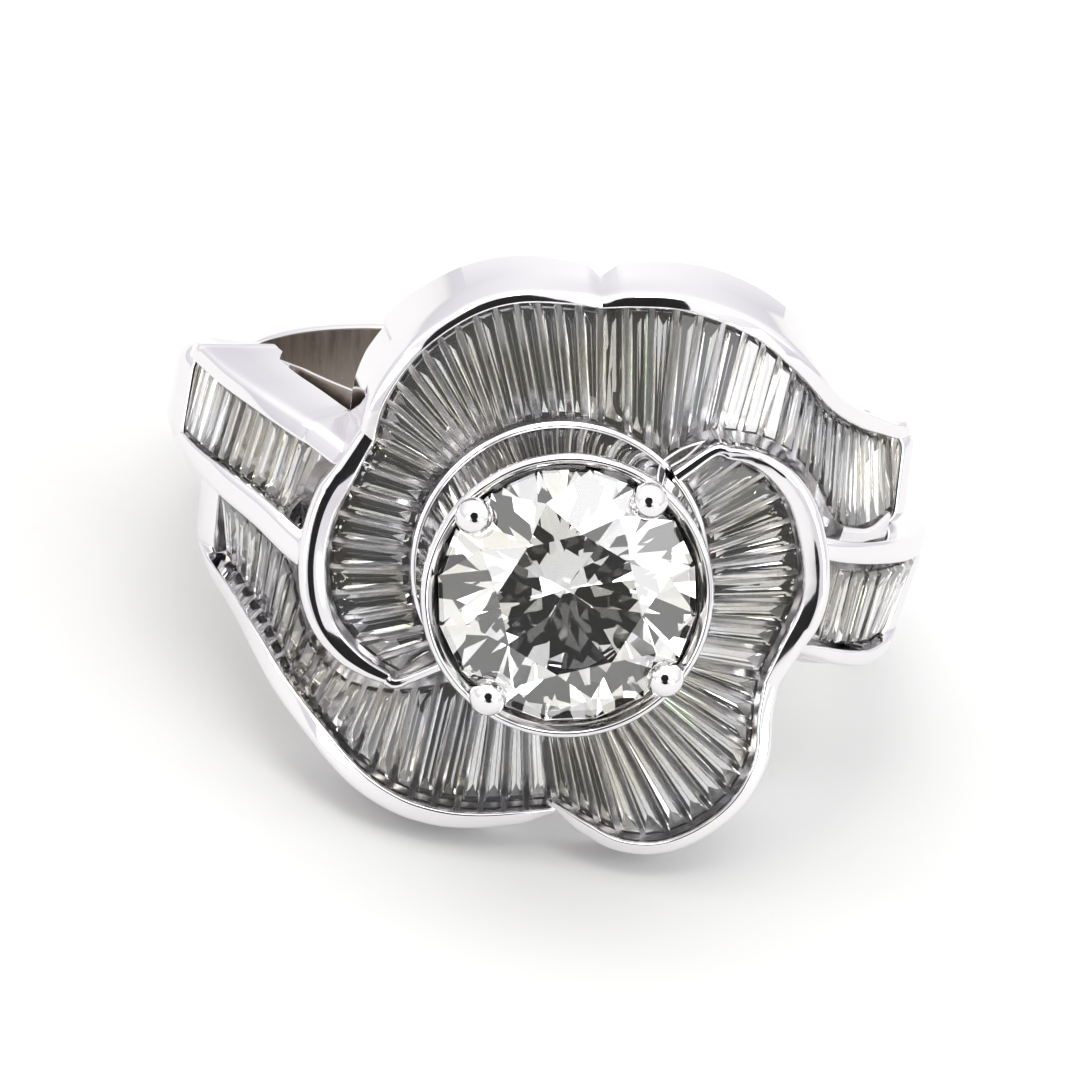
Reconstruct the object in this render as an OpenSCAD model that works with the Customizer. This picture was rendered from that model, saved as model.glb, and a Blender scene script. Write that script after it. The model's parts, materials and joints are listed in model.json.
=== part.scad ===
// A marguerite ring: a round stone in a high collar, six petals of tapered baguettes
// between polished rails, and two channels of baguettes down each shoulder.
// Working frame of the design: X across the finger, Y along the finger, Z out of the
// flower, with the middle of the finger hole at the origin. Millimetres.

/* [Finger hole and band] */
// radius of the finger hole
finger_r = 8.65; // [7.6:0.05:9.0]
// thickness of the band at the back of the finger
band_t = 1.3; // [1:0.1:2]
// half the width of the band at the back
band_back_w = 1.65; // [1.2:0.05:2.2]
// half the width of the lining under the flower
lining_w = 2.85; // [2.4:0.05:3.2]

/* [Flower] */
// depth of a baguette from its table to its keel
baguette_d = 0.8; // [0.6:0.05:0.9]
// clear width between two baguettes
baguette_gap = 0.13; // [0.1:0.01:0.16]
// how far the baguettes lie below the edge of the petal rails
petal_drop = 0.25; // [0.15:0.05:0.4]
// how far they lie below the edge of the long channels' rails
channel_drop = 0.5; // [0.3:0.05:0.6]

/* [Collar and centre stone] */
// outer radius of the collar
collar_r = 3.85; // [3.6:0.05:4.0]
// height of the collar's lip over the middle of the finger
lip_z = 13.1; // [12.5:0.1:14]
// radius of the centre stone at its girdle
stone_r = 3.42; // [3.2:0.02:3.5]
// radius of the bead on each prong
bead_r = 0.5; // [0.4:0.05:0.6]

/* [Rest] */
// lean of the ring as it lies on its two lower petals and the back of its band
lean = 19.45; // [0:0.05:30]
// tip of the ring to its side as it lies
tip = -0.75; // [-5:0.05:5]

/* [Hidden] */
centre = [-0.2, -0.2];      // the collar stands a little off the middle
inside_r = 8.2;             // everything reaches in to here, and the finger hole trims it
drawn_span = 21.045;        // width across the shoulders in the tables below
rest_shift = [0.09, 2.23, 4.64];  // brings the resting ring over the middle of the floor

// Rows of baguettes. Each row of a table is one line across the field:
// outer end x, y, z of the rail's edge, then the inner end, either as an angle
// round the collar or as x, y, z of the stone's own end.
left_inner = [
  [-3.95, -3.75, 10.4, 225], [-4.95, -3.3, 10.3, 219], [-5.85, -2.5, 10.2, 205],
  [-6.3, -1.2, 10.1, 191], [-6.3, 0.15, 10.0, 177], [-5.95, 1.3, 9.95, 162],
  [-5.6, 2.4, 9.9, 150]];
upper_left = [
  [-5.6, 2.4, 9.9, 150], [-5.55, 3.3, 10.0, 145], [-5.25, 4.2, 10.1, 139],
  [-4.75, 5.1, 10.2, 132], [-3.95, 5.95, 10.25, 124], [-3.15, 6.5, 10.3, 115],
  [-2.25, 6.8, 10.3, 104], [-1.05, 6.9, 10.2, 91], [-0.35, 6.9, 10.1, 84]];
upper_right = [
  [-0.3, 6.9, 10.1, 84], [0.65, 7.1, 10.25, 68], [1.7, 7.2, 10.3, 55],
  [2.95, 7.0, 10.15, 2.85, 3.85, 9.65], [4.1, 6.55, 9.8, 3.85, 4.0, 9.45],
  [5.3, 5.7, 9.2, 5.15, 3.75, 9.2], [6.35, 4.75, 8.3, 6.3, 2.85, 9.0],
  [7.4, 4.1, 7.0, 7.2, 1.65, 8.3], [8.2, 3.7, 5.65, 8.1, 1.4, 6.9],
  [8.85, 3.4, 4.6, 8.75, 1.35, 5.2], [9.2, 3.35, 3.8, 9.05, 1.35, 4.2]];
right_inner = [
  [3.3, 3.5, 10.4, 44], [4.4, 3.35, 10.3, 33], [5.35, 2.6, 10.2, 21],
  [5.9, 1.55, 10.1, 11], [6.2, 0.6, 10.05, 3], [6.25, -0.25, 10.0, -7],
  [5.95, -1.4, 9.95, -19], [5.7, -2.4, 9.9, -32]];
lower_right = [
  [5.7, -2.5, 9.9, -32], [5.7, -3.45, 10.0, -37], [5.8, -4.55, 10.1, -45],
  [5.45, -5.65, 10.2, -52], [4.7, -6.55, 10.25, -59], [3.7, -7.15, 10.3, -66],
  [2.65, -7.25, 10.3, -71], [1.8, -7.0, 10.2, -78], [0.8, -6.6, 10.1, -87]];
lower_left = [
  [0.68, -6.75, 10.1, -87], [-0.15, -6.9, 10.25, -96], [-1.2, -7.1, 10.3, -106],
  [-2.25, -7.15, 10.3, -118], [-3.35, -7.0, 10.15, -3.2, -4.1, 9.65],
  [-4.5, -6.5, 9.8, -4.15, -4.35, 9.45], [-5.7, -5.55, 9.2, -5.3, -4.25, 9.3],
  [-6.7, -4.75, 8.4, -6.4, -3.45, 8.95], [-7.5, -4.0, 7.3, -7.2, -1.75, 8.3],
  [-8.25, -3.35, 5.9, -8.05, -1.1, 7.1], [-9.05, -2.8, 4.4, -9.1, -0.8, 5.1]];
left_shoulder = [
  [-10.3, 2.35, 3.35, -10.2, 0.32, 3.4], [-9.65, 2.25, 5.2, -9.65, 0.3, 5.3],
  [-8.75, 2.1, 6.9, -8.8, 0.2, 6.9], [-7.7, 1.85, 8.3, -7.8, -0.05, 8.25],
  [-7.25, 1.75, 8.75, -7.5, -0.2, 8.5]];
right_shoulder = [
  [7.4, -1.6, 8.65, 7.4, 0.55, 8.65], [8.0, -1.75, 8.1, 7.9, 0.45, 8.15],
  [8.75, -1.95, 6.95, 8.8, 0.25, 6.7], [9.3, -1.95, 5.85, 9.65, 0.1, 5.0],
  [9.55, -1.95, 5.2, 10.05, 0.05, 3.9]];

// How a rail is shaped along its length: fraction, width of its top, flare of its
// skirt and dish, where 0 is a plain rounded top and 1 slopes down to the stones.
inner_shape = [[0, 0.25, 0, 0.6], [0.12, 0.25, 0, 0.7], [0.3, 0.6, 0, 1],
  [0.5, 0.74, 0, 1], [0.8, 0.74, 0, 1], [1, 0.5, 0.1, 0.4]];
upper_left_shape = [[0, 0.45, 0.15, 0.3], [0.2, 0.4, 0.3, 0], [0.5, 0.34, 0.4, 0],
  [0.8, 0.34, 0.5, 0], [0.95, 0.34, 0.45, 0], [1, 0.3, 0.2, 0]];
upper_right_shape = [[0, 0.3, 0.2, 0], [0.04, 0.4, 0.45, 0], [0.2, 0.44, 0.5, 0],
  [0.4, 0.45, 0.35, 0], [0.65, 0.45, 0.2, 0], [1, 0.35, 0.05, 0]];
lower_right_shape = [[0, 0.45, 0.1, 0.3], [0.2, 0.44, 0.1, 0], [0.5, 0.42, 0.15, 0],
  [0.9, 0.38, 0.15, 0], [1, 0.2, 0.05, 0]];
lower_left_shape = [[0, 0.2, 0.05, 0], [0.05, 0.42, 0.1, 0], [0.2, 0.55, 0.1, 0],
  [0.7, 0.62, 0.05, 0], [0.9, 0.52, 0, 0], [1, 0.3, 0, 0]];
shoulder_shape = [[0, 0.3, 0.1, 0], [0.2, 0.45, 0.25, 0], [0.5, 0.52, 0.35, 0],
  [0.85, 0.52, 0.3, 0], [1, 0.4, 0.15, 0]];

// Where the rails run beyond their stones: collar end of the inner rails, and the
// feet of the channel rails on the band.
left_start = [[-2.95, -3.1, 10.6]];
right_start = [[2.55, 2.8, 10.6]];
upper_foot = [[9.35, 3.2, 3.2]];
lower_foot = [[-9.25, -2.6, 3.7]];
left_head = [[-6.05, 1.25, 9.45]];
left_foot = [[-10.3, 2.15, 2.5], [-10.1, 1.8, 1.6]];
right_head = [[6.5, -1.45, 9.3]];
right_foot = [[9.75, -1.85, 4.3], [9.85, -1.7, 2.8]];

// Bars between the two channels of a shoulder: middle x, y, z and width.
left_bar = [[-6.5, -1.1, 9.7, 1.0], [-7.3, -0.85, 9.2, 0.9], [-8.3, -0.42, 8.0, 0.85],
  [-9.3, -0.15, 6.45, 0.75], [-10.05, 0.0, 4.3, 0.5], [-10.45, 0.05, 2.3, 0.45],
  [-10.3, 0.05, 0.8, 0.45]];
right_bar = [[6.4, 1.3, 9.6, 0.6], [7.3, 1.1, 9.0, 0.6], [8.2, 0.9, 7.9, 0.62],
  [9.1, 0.7, 6.4, 0.68], [9.85, 0.5, 4.7, 0.75], [10.35, 0.4, 3.0, 0.75],
  [10.3, 0.35, 1.2, 0.6]];

// Band round the finger: angle from the back, half width and outer radius.
band_shape = [[0, band_back_w, finger_r + band_t], [60, 1.65, 10.1], [85, 1.75, 10.2],
  [97, 2.0, 9.9], [105, 2.5, 9.4], [111, 2.7, 9.0], [122, lining_w, 9.0],
  [140, lining_w, 9.1], [180, lining_w, 9.25]];

// Small functions.
function mix(a, b, t) = a + (b - a) * t;
function collar_point(a) = [centre[0] + (collar_r + 0.1) * cos(a),
  centre[1] + (collar_r + 0.1) * sin(a), 9.75];
function full(r) = len(r) == 4 ? concat([r[0], r[1], r[2]], collar_point(r[3])) : r;
function rows(tab) = [for (r = tab) full(r)];
function bend(p, s) = let (n = len(p), i = min(floor(s), n - 2), t = s - i,
  b = p[i], c = p[i + 1], a = i > 0 ? p[i - 1] : 2 * b - c,
  d = i < n - 2 ? p[i + 2] : 2 * c - b)
  0.5 * (2 * b + (c - a) * t + (2 * a - 5 * b + 4 * c - d) * t * t
    + (3 * b - a - 3 * c + d) * t * t * t);
function xyz(p) = [p[0], p[1], p[2]];
// points close together along the outer ends of a field, so that its rail follows it
function edge(tab) = [for (i = [0:24]) xyz(bend(rows(tab), i / 24 * (len(tab) - 1)))];
// fine points of a curve, each with the length run so far
function run(p, m = 60) = let (q = [for (i = [0:m]) bend(p, i / m * (len(p) - 1))])
  [for (i = 0, s = 0; i <= m;
    s = s + (i < m ? norm(xyz(q[i + 1]) - xyz(q[i])) : 0), i = i + 1) concat([s], q[i])];
function at(c, f) = let (s = f * c[len(c) - 1][0])
  [for (k = [1:len(c[0]) - 1]) lookup(s, [for (q = c) [q[0], q[k]]])];
function unit(v) = v / norm(v);
// outward direction of the surface: straight up on the flower, leaning on the shoulders
function lean_at(x) = let (t = max(0, min(1, (abs(x) - 4.8) / 5.8))) 80 * t * t * (3 - 2 * t);
function up_at(x, leans) = leans ? [sin(lean_at(x)) * sign(x), 0, cos(lean_at(x))] : [0, 0, 1];
// how far below p, along n, the wall meets the radius inside_r round the finger
function depth(p, n) = let (b = n[0] * p[0] + n[2] * p[2],
  c = p[0] * p[0] + p[2] * p[2] - inside_r * inside_r, q = b * b - c)
  q > 0 ? b - sqrt(q) : b;

// depth of a baguette whose ends lie at a and b: shallower where the band is thin
function keel(a, b, n) = min(baguette_d, depth(a, n) - 0.85, depth(b, n) - 0.85);

// Solids swept from rings of points.
function total(v) = v * [for (x = v) 1];
function swept(p, faces) = total([for (f = faces) for (i = [1:len(f) - 2])
  p[f[0]] * cross(p[f[i]], p[f[i + 1]])]);

// closed skin over rings of equal length, its faces turned outwards
module skin(rings) {
  k = len(rings[0]);
  n = len(rings);
  pts = [for (r = rings) for (p = r) p];
  faces = concat([[for (i = [0:k - 1]) i]], [[for (i = [k - 1:-1:0]) (n - 1) * k + i]],
    [for (j = [0:n - 2]) for (i = [0:k - 1]) let (a = j * k + i, b = j * k + (i + 1) % k)
      each [[a, a + k, b], [b, a + k, b + k]]]);
  out = swept(pts, faces) < 0;
  polyhedron(pts, [for (f = faces) out ? f : [for (i = [len(f) - 1:-1:0]) f[i]]]);
}

function rail_ring(p, dir, f, shape, leans, side) = let (
  n = up_at(p[0], leans), s = side * unit(cross(n, dir)),
  w = lookup(f, [for (r = shape) [r[0], r[1]]]), fl = lookup(f, [for (r = shape) [r[0], r[2]]]),
  k = lookup(f, [for (r = shape) [r[0], r[3]]]), h = depth(p, n), ho = depth(p + s * (w + fl), n),
  plain = [[0, -h], [0, 0], [0.3 * w, 0.08], [0.7 * w, 0.05], [w, -0.14],
    [w + 0.35 * fl, -0.8], [w + fl, -ho]],
  dished = [[0, -h], [0, 0], [0.32 * w, 0.2], [0.64 * w, 0.3], [0.88 * w, 0.24],
    [w, 0], [w, -ho]])
  [for (i = [0:6]) let (q = mix(plain[i], dished[i], k)) p + s * q[0] + n * q[1]];

// a rail runs a little past both ends of its path, into the rail that it meets there
module rail(path, shape, leans, steps, side = 1) {
  c = run(path);
  skin([for (i = [0:steps]) let (f = i / steps,
    dir = unit(at(c, min(1, f + 0.01)) - at(c, max(0, f - 0.01))),
    p = at(c, f) + dir * (i == 0 ? -0.12 : i == steps ? 0.12 : 0))
    rail_ring(p, dir, f, shape, leans, side)]);
}

module bar(path, steps) {
  c = run(path);
  skin([for (i = [0:steps]) let (f = i / steps, q = at(c, f), p = xyz(q), hw = q[3] / 2,
    dir = unit(xyz(at(c, min(1, f + 0.01)) - at(c, max(0, f - 0.01)))),
    n = up_at(p[0], true), s = unit(cross(n, dir)), h = depth(p, n))
    [p - s * hw - n * h, p - s * hw - n * 0.12, p - s * hw * 0.6, p + s * hw * 0.6,
      p + s * hw - n * 0.12, p + s * hw - n * h]]);
}

// floor of a field, from below the keels down to the finger
module floor_under(tab, drop, leans, steps, under = 0.27) {
  c = run(rows(tab));
  skin([for (i = [0:steps]) let (q = at(c, i / steps), a0 = xyz(q), b0 = [q[3], q[4], q[5]],
    n = up_at((a0[0] + b0[0]) / 2, leans), e = unit(a0 - b0),
    past = (i == 0 ? -0.2 : i == steps ? 0.2 : 0) *
      unit(xyz(at(c, min(1, i / steps + 0.02))) - xyz(at(c, max(0, i / steps - 0.02)))),
    d = keel(a0 - n * drop, b0, n) + under,
    a = a0 + e * 0.15 - n * (drop + d) + past, b = b0 - e * 0.2 - n * d + past)
    [a, a - n * depth(a, n), b - n * depth(b, n), b]]);
}

// corners of a flat four-sided outline, each side moved inwards by its own amount
function inset(q, s) = let (u = [for (i = [0:3]) unit(q[(i + 1) % 4] - q[i])],
  p = [for (i = [0:3]) q[i] + [u[i][1], -u[i][0]] * s[i]])
  [for (i = [0:3]) let (h = (i + 3) % 4)
    p[i] + u[i] * cross(p[h] - p[i], u[h]) / cross(u[i], u[h])];
function x_at(a, b, y) = a[0] + (b[0] - a[0]) * (y - a[1]) / (b[1] - a[1]);

// outer and inner end of a stone's side, on one line across its field
function side_line(q, drop, leans) = let (a = xyz(q), b = [q[3], q[4], q[5]])
  [a - up_at((a[0] + b[0]) / 2, leans) * drop - unit(a - b) * 0.09, b];
// corners of a stone between two such lines: outer two, then inner two
function corners(l0, l1) = [l0[0], l1[0], l1[1], l0[1]];
// directions of such a stone: along it, across it, up from its table, and down its sides
// for a unit of depth
function axes(o, leans) = let (e = unit((o[0] + o[1]) / 2 - (o[2] + o[3]) / 2),
  w = unit(o[1] - o[0]) + unit(o[2] - o[3]), x = unit(w - e * (w * e)),
  up = up_at((o[0][0] + o[3][0]) / 2, leans), n = cross(x, e) * (cross(x, e) * up > 0 ? 1 : -1))
  [e, x, n, -up / (n * up)];

// one step-cut baguette. All its facets are flat: the table is the plane through its middle
// line, its sides stand along the walls beside it, and its keel runs deeper to the wide end.
// Its left and right sides draw in with depth by lean0 and lean1, to stay clear of the next.
module baguette(o, ax, lean0, lean1) {
  e = ax[0];
  x = ax[1];
  down = ax[3];
  mid = (o[2] + o[3]) / 2;
  g = baguette_gap / 2;
  flat = [for (p = o) let (q = p - mid + down * ((p - mid) * ax[2])) [q * x, q * e]];
  function girdle(d) = inset(flat, [0, g + lean1 * d, 0.03, g + lean0 * d]);
  low = girdle(0.2);
  half = (low[2][0] - low[3][0]) / 2;
  c = min(0.07, 0.4 * half);
  s = min(0.1, 0.5 * half);
  step = inset(low, [0.16, s, 0.2, s]);
  y0 = min(step[0][1], step[1][1]) - 0.3;
  y1 = max(step[2][1], step[3][1]) + 0.3;
  function keel_half(y) = (x_at(step[1], step[2], y) - x_at(step[0], step[3], y)) / 2;
  function keel_x(y) = (x_at(step[1], step[2], y) + x_at(step[0], step[3], y)) / 2;
  deep = min(keel(o[0], o[3], -unit(down)), keel(o[1], o[2], -unit(down))) / norm(down);
  k = min(1, (deep - 0.2) / (1.8 * s + 0.87 * keel_half(y0)));
  function at_depth(q, d) = [for (p = q) mid + x * p[0] + e * p[1] + down * d];
  function keel_end(y, side) = mid + x * (keel_x(y) + 0.012 * side) + e * y
    + down * (0.2 + k * (1.8 * s + 0.87 * keel_half(y)));
  skin([[keel_end(y0, -1), keel_end(y0, 1), keel_end(y1, 1), keel_end(y1, -1)],
    at_depth(step, 0.2 + k * 1.8 * s), at_depth(low, 0.2), at_depth(girdle(0.12), 0.12),
    at_depth(inset(girdle(0.12), [0.1, c, 0.08, c]), 0)]);
}

module field(tab, drop, leans, count) {
  c = run(rows(tab));
  lines = [for (i = [0:count]) side_line(at(c, i / count), drop, leans)];
  o = [for (i = [0:count - 1]) corners(lines[i], lines[i + 1])];
  ax = [for (q = o) axes(q, leans)];
  // how fast two stones would meet with depth, shared between them
  function closing(i, j) = i < 0 || j >= count ? 0 :
    max(0, (ax[i][3] - ax[j][3]) * ax[i][1], (ax[j][2] - ax[i][2]) * ax[i][1]) * 0.9;
  for (i = [0:count - 1]) baguette(o[i], ax[i], closing(i - 1, i), closing(i, i + 1));
}

module collar() {
  translate([centre[0], centre[1], 0]) rotate_extrude($fn = 56) polygon([
    [0, 7.5], [collar_r, 7.5], [collar_r, 9.84], [collar_r + 0.11, 9.87],
    [collar_r + 0.11, 9.92], [collar_r, 9.98], [collar_r, lip_z - 0.2],
    [collar_r - 0.06, lip_z - 0.04],
    [collar_r - 0.17, lip_z], [stone_r + 0.08, lip_z - 0.22], [stone_r + 0.06, lip_z - 0.56],
    [stone_r - 0.25, lip_z - 0.78], [2.7, 10.2], [2.0, 9.55], [0, 9.55]]);
}

// clear room for the centre stone inside the beads of the prongs
module seat() translate([centre[0], centre[1], lip_z - 0.32]) rotate_extrude($fn = 40)
  polygon([[0, -0.9 * stone_r], [stone_r + 0.05, -0.03], [stone_r + 0.05, 0.03 * stone_r + 0.03],
    [0.79 * stone_r + 0.05, 0.202 * stone_r + 0.05], [0.56 * stone_r + 0.05, 0.31 * stone_r + 0.04],
    [0, 0.31 * stone_r + 0.04]]);

module prong(a) {
  translate([centre[0], centre[1], lip_z + 0.12]) rotate(a) {
    translate([stone_r - 0.08, 0, 0.05]) sphere(bead_r, $fn = 14);
    translate([stone_r + 0.02, 0, -0.75]) cylinder(r1 = 0.3, r2 = 0.42, h = 0.7, $fn = 10);
  }
}

module band() {
  steps = 84;
  prof = function (a) let (f = abs(a), w = lookup(f, [for (r = band_shape) [r[0], r[1]]]),
    ro = lookup(f, [for (r = band_shape) [r[0], r[2]]]), t = ro - finger_r,
    sec = [[inside_r, -w], [finger_r + 0.45 * t, -w], [finger_r + 0.85 * t, -0.7 * w],
      [ro, -0.3 * w], [ro, 0.3 * w], [finger_r + 0.85 * t, 0.7 * w],
      [finger_r + 0.45 * t, w], [inside_r, w]])
    [for (s = sec) [s[0] * sin(a), s[1], -s[0] * cos(a)]];
  rings = [for (i = [0:steps - 1]) prof(i * 360 / steps - 180)];
  k = 8;
  polyhedron(points = [for (r = rings) for (p = r) p],
    faces = [for (j = [0:steps - 1]) for (i = [0:k - 1]) let (m = (j + 1) % steps,
      a = j * k + i, b = j * k + (i + 1) % k, c = m * k + i, d = m * k + (i + 1) % k)
      each [[a, c, b], [b, c, d]]]);
}

// rounded end of a shoulder below its channel: the line of the stones' end from p to q,
// and how far the toe reaches down at each of them
module toe(p, q, fall0, fall1) {
  s = sign(p[0]);
  skin([for (t = [[0, 0.45], [0.05, 0.2], [0.15, 0.05], [0.5, 0], [0.85, 0.05], [0.95, 0.2],
    [1, 0.45]]) let (o = mix(p, q, t[0]), fall = mix(fall0, fall1, t[0]), k = s * t[1],
      n = up_at(o[0], true))
    [[o[0] - s * 1.6, o[1], o[2] - 0.3 - 1.6 * n[2] / abs(n[0])], [o[0] - k, o[1], o[2] - 0.05],
      [o[0] + s * 0.3 - k, o[1], o[2] - 0.45], [o[0] + s * 0.42 - k, o[1], o[2] - 0.5 * fall - 0.2],
      [o[0] + s * 0.2 - k, o[1], o[2] - fall - 0.3], [o[0] - s * 1.6, o[1], o[2] - fall - 0.3]]]);
}

// leaf-shaped slit between the lining and a shoulder's polished flank
module slit(a0, a1, y) {
  steps = 8;
  skin([for (i = [0:steps]) let (f = i / steps, a = mix(a0, a1, f),
    h = 0.02 + 0.3 * sin(min(90, f * 110)), r0 = 8.95, s = sign(y))
    [for (q = s > 0 ? [[r0, y], [r0 + h, y], [r0 + h, y + 2], [r0, y + 2]]
      : [[r0, y - 2], [r0 + h, y - 2], [r0 + h, y], [r0, y]])
      [q[0] * cos(a), q[1], q[0] * sin(a)]]]);
}

module flower() {
  difference() {
    union() {
      band();
      collar();
      for (a = [147, 61, -31, -119]) prong(a);
      rail(concat(left_start, edge(left_inner)), inner_shape, false, 30);
      rail(edge(upper_left), upper_left_shape, false, 26);
      rail(concat(edge(upper_right), upper_foot), upper_right_shape, true, 34);
      rail(concat(right_start, edge(right_inner)), inner_shape, false, 30);
      rail(edge(lower_right), lower_right_shape, false, 26);
      rail(concat(edge(lower_left), lower_foot), lower_left_shape, true, 34);
      rail(concat(left_foot_reversed(), edge(left_shoulder), left_head), shoulder_shape, true, 20);
      rail(concat(right_head, edge(right_shoulder), right_foot), shoulder_shape, true, 20, -1);
      bar(left_bar, 16);
      bar(right_bar, 16);
      floor_under(left_inner, petal_drop, false, 10);
      floor_under(upper_left, petal_drop, false, 12);
      floor_under(upper_right, channel_drop, true, 18);
      floor_under(right_inner, petal_drop, false, 10);
      floor_under(lower_right, petal_drop, false, 12);
      floor_under(lower_left, channel_drop, true, 18);
      floor_under(left_shoulder, 0.25, true, 8);
      floor_under(right_shoulder, 0.25, true, 8);
      toe([-10.25, -0.1, 3.3], [-10.25, 2.5, 3.2], 3.2, 1.8);
      toe([9.35, -2.2, 5.2], [10.05, 0.3, 3.65], 3.8, 3);
      toe([-9.0, -2.95, 4.1], [-9.15, 0.1, 4.4], 1.4, 4);
      toe([9.3, 0.8, 3.9], [9.15, 3.35, 3.7], 3.5, 1.0);
    }
    seat();
    rotate([90, 0, 0]) cylinder(r = finger_r - 0.04, h = 40, center = true, $fn = 120);
    slit(156, 131, 1.5);
    slit(-24, 41, -1.5);
  }
}

function left_foot_reversed() = [left_foot[1], left_foot[0]];

module ring_mount() color("Silver") place() difference() {
  resize([drawn_span, 0, 0], auto = true) flower();
  rotate([90, 0, 0]) cylinder(r = finger_r, h = 40, center = true);
}

module centre_stone() color("White") place()
  translate([centre[0], centre[1], lip_z - 0.32]) brilliant(stone_r);

// round brilliant with its girdle at z = 0
module brilliant(r) {
  rt = 0.56 * r; zt = 0.31 * r; g = 0.03 * r; rk = 0.79 * r; rl = 0.22 * r; dp = 0.86 * r;
  zk = g + (r - rk * cos(22.5)) * (zt - g) / (r - rt);
  zl = -(r - rl * cos(22.5)) * dp / r;
  function ring(n, q, z, off) = [for (i = [0:n - 1])
    [q * cos(off + i * 360 / n), q * sin(off + i * 360 / n), z]];
  // table 0-7, stars' tips 8-15, girdle top 16-31, girdle foot 32-47, pavilion 48-55, culet 56
  points = concat(ring(8, rt, zt, 0), ring(8, rk, zk, 22.5), ring(16, r, g, 0),
    ring(16, r, 0, 0), ring(8, rl, zl, 22.5), [[0, 0, -dp]]);
  polyhedron(points, concat([[for (i = [7:-1:0]) i]],
    [for (i = [0:7]) let (j = (i + 1) % 8, h = (i + 7) % 8, a = 16 + 2 * i, b = a + 1,
      c = 16 + (2 * i + 2) % 16) each [[i, j, 8 + i], [i, 8 + i, a], [i, a, 8 + h],
      [8 + i, b, a], [8 + i, c, b], [a, b, b + 16], [a, b + 16, a + 16],
      [b, c, c + 16], [b, c + 16, b + 16], [a + 16, b + 16, 48 + i],
      [b + 16, c + 16, 48 + i], [a + 16, 48 + i, 56], [a + 16, 56, 48 + h]]]));
}

module left_inner_baguettes() color("LightBlue") place() field(left_inner, petal_drop, false, 10);
module upper_left_baguettes() color("LightCyan") place() field(upper_left, petal_drop, false, 14);
module upper_right_baguettes() color("LightBlue") place() field(upper_right, channel_drop, true, 20);
module right_inner_baguettes() color("LightCyan") place() field(right_inner, petal_drop, false, 10);
module lower_right_baguettes() color("LightBlue") place() field(lower_right, petal_drop, false, 13);
module lower_left_baguettes() color("LightCyan") place() field(lower_left, channel_drop, true, 22);
module left_shoulder_baguettes() color("LightBlue") place() field(left_shoulder, 0.25, true, 10);
module right_shoulder_baguettes() color("LightCyan") place() field(right_shoulder, 0.25, true, 6);

// from the working frame to the ring at rest: on its side, flower towards -Y
module place() translate(rest_shift) rotate([-lean, tip, 0]) rotate([90, 0, 0]) children();

ring_mount();
centre_stone();
left_inner_baguettes();
upper_left_baguettes();
upper_right_baguettes();
right_inner_baguettes();
lower_right_baguettes();
lower_left_baguettes();
left_shoulder_baguettes();
right_shoulder_baguettes();
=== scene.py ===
"""Marguerite ring in polished white gold with a round diamond and fields of baguettes.

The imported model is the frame. The metal is rebuilt over its mount as smooth swept walls on
the same lines. The stones keep their own solids and get their finish here.
"""

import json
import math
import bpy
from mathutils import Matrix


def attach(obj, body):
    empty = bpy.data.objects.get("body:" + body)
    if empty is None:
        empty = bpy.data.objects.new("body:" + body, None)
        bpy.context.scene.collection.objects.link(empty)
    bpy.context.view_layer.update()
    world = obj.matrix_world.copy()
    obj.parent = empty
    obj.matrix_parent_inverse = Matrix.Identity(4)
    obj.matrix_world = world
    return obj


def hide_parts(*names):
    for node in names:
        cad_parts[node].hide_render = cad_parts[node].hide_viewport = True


bl_info = {
    "name": "Marguerite ring",
    "version": (1, 0, 0),
    "blender": (4, 5, 0),
    "location": "3D View > Sidebar > Ring",
    "description": "Builds the looks of a marguerite ring over its packed model",
    "category": "Add Mesh",
}

from types import SimpleNamespace

import bpy
import numpy as np
from bpy.props import FloatProperty, PointerProperty, StringProperty
from mathutils import Matrix, Vector

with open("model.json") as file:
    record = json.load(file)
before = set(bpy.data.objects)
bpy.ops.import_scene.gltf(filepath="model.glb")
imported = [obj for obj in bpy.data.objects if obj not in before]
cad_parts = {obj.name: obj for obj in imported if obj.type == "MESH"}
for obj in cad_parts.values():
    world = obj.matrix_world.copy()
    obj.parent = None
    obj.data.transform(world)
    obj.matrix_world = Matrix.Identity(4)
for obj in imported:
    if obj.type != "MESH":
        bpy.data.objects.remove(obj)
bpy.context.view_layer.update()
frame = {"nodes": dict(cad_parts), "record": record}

BODY = "root"
MOUNT = "ring_mount"
CENTRE_STONE = "centre_stone"
MM = 0.001
POLISHED, SATIN_AND_PAINTED_SHADE, BED = 0, 1, 2  # the metal's finishes; the satin one's darker colour is also painted shade
BORE = frame["record"]["mounts"][0]
FINGER_R = BORE["dims"]["r_mm"]

# The design frame of the ring: X across the finger, Y along it, Z out of the flower, with
# the middle of the finger hole at the origin, in millimetres. All tables below are in it.
CENTRE = (-0.2, -0.2)  # the collar stands a little off the middle

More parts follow.
